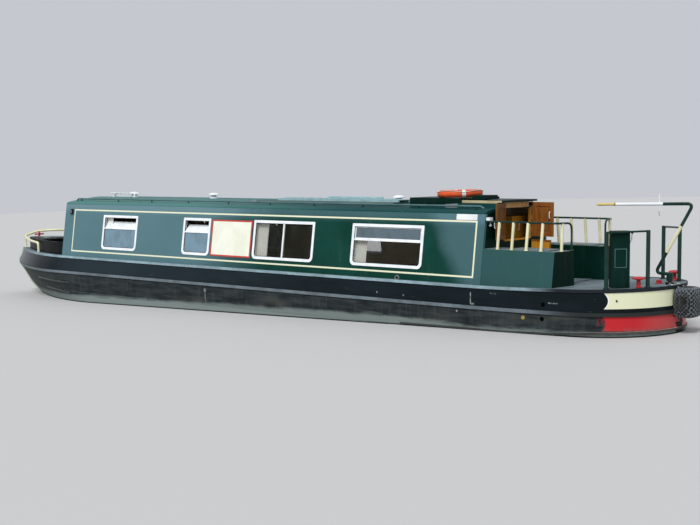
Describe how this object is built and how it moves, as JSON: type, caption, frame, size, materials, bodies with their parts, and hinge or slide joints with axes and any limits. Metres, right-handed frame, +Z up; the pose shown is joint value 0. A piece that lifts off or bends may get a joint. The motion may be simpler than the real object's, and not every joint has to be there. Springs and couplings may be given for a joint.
{
  "type": "narrowboat",
  "caption": "Steel canal narrowboat with a long windowed cabin, bow well, cruiser stern with side lockers and rails, swan-neck tiller, propeller, sliding hatch and hinged doors.",
  "frame": {"origin": "centre of the bounding box at the underside of the flat baseplate", "axes": "+X towards the bow, +Y to port, +Z up"},
  "size_m": [14.605, 2.08, 2.4891],
  "materials": {
    "black_paint": "satin",
    "green_paint": "gloss",
    "cream_paint": "gloss",
    "red_paint": "gloss",
    "grey_paint": "matt",
    "white_paint": "gloss",
    "varnished_wood": "varnished",
    "floor_ply": "matt",
    "window_glass": "polished",
    "bronze": "satin",
    "engine_iron": "painted",
    "fender_rope": "woven",
    "lifebuoy_orange": "satin"
  },
  "bodies": {
    "hull_body": {"hull": "black_paint", "middle_strake": "black_paint", "bow_coaming": "black_paint", "cabin_side_port": "green_paint", "cabin_side_starboard": "green_paint", "roof": "green_paint", "front_bulkhead": "green_paint", "rear_bulkhead": "green_paint", "handrail_port": "green_paint", "handrail_starboard": "green_paint", "side_locker_port": "green_paint", "side_locker_starboard": "green_paint", "well_rail_port": "green_paint", "well_rail_starboard": "green_paint", "deck_rail_port": "green_paint", "deck_rail_starboard": "green_paint", "control_console": "green_paint", "cabin_floor": "floor_ply", "well_floor": "grey_paint", "gang_plank": "grey_paint", "window_port_1": "window_glass", "window_port_2": "window_glass", "window_port_3": "window_glass", "window_port_4": "window_glass", "window_starboard_1": "window_glass", "window_starboard_2": "window_glass", "window_starboard_3": "window_glass", "window_starboard_4": "window_glass", "boat_pole": "varnished_wood", "well_locker": "varnished_wood", "bow_rail": "cream_paint", "stern_stud_port": "red_paint", "stern_stud_starboard": "red_paint", "bow_stud": "red_paint", "engine_block": "engine_iron", "roof_vent_1": "white_paint", "roof_vent_2": "white_paint", "roof_vent_3": "white_paint", "lifebuoy": "lifebuoy_orange", "stern_fender": "fender_rope"},
    "steering": {"rudder": "black_paint", "tiller_arm": "green_paint", "tiller_grip": "varnished_wood"},
    "screw": {"propeller": "bronze"},
    "hatch": {"sliding_hatch": "green_paint"},
    "rear_leaf_port": {"rear_door_port": "varnished_wood"},
    "rear_leaf_starboard": {"rear_door_starboard": "varnished_wood"},
    "front_leaf_port": {"front_door_port": "varnished_wood"},
    "front_leaf_starboard": {"front_door_starboard": "varnished_wood"},
    "locker_lid": {"gas_locker_lid": "grey_paint"},
    "engine_lid": {"engine_hatch": "grey_paint"},
    "port_locker_lid": {"locker_lid_port": "grey_paint"},
    "starboard_locker_lid": {"locker_lid_starboard": "grey_paint"}
  },
  "joints": [
    {"name": "steer", "type": "hinge", "parent": "hull_body", "child": "steering", "pos_m": [-6.91, 0, 1], "axis": [0, 0, 1], "range_deg": [-38, 38]},
    {"name": "propeller_spin", "type": "hinge", "parent": "hull_body", "child": "screw", "pos_m": [-6.56, 0, 0.3], "axis": [1, 0, 0], "continuous": true},
    {"name": "hatch_slide", "type": "slide", "parent": "hull_body", "child": "hatch", "axis": [1, 0, 0], "range_m": [0, 0.5]},
    {"name": "rear_door_port_swing", "type": "hinge", "parent": "hull_body", "child": "rear_leaf_port", "pos_m": [-4.652, 0.325, 2.06], "axis": [0, 0, 1], "range_deg": [-4, 167]},
    {"name": "rear_door_starboard_swing", "type": "hinge", "parent": "hull_body", "child": "rear_leaf_starboard", "pos_m": [-4.652, -0.395, 2.06], "axis": [0, 0, 1], "range_deg": [-92, 74]},
    {"name": "front_door_port_swing", "type": "hinge", "parent": "hull_body", "child": "front_leaf_port", "pos_m": [4.61, 0.31, 1.52], "axis": [0, 0, 1], "range_deg": [0, 95]},
    {"name": "front_door_starboard_swing", "type": "hinge", "parent": "hull_body", "child": "front_leaf_starboard", "pos_m": [4.61, -0.31, 1.52], "axis": [0, 0, 1], "range_deg": [-95, 0]},
    {"name": "gas_locker_lift", "type": "hinge", "parent": "hull_body", "child": "locker_lid", "pos_m": [5.945, 0, 1.463], "axis": [0, -1, 0], "range_deg": [0, 100]},
    {"name": "engine_hatch_lift", "type": "hinge", "parent": "hull_body", "child": "engine_lid", "pos_m": [-5.595, 0, 1.247], "axis": [0, -1, 0], "range_deg": [0, 85]},
    {"name": "locker_lid_port_lift", "type": "hinge", "parent": "hull_body", "child": "port_locker_lid", "pos_m": [-5.315, 0.785, 1.7065], "axis": [-1, 0, 0], "range_deg": [0, 70]},
    {"name": "locker_lid_starboard_lift", "type": "hinge", "parent": "hull_body", "child": "starboard_locker_lid", "pos_m": [-5.315, -0.785, 1.7065], "axis": [1, 0, 0], "range_deg": [0, 70]}
  ]
}
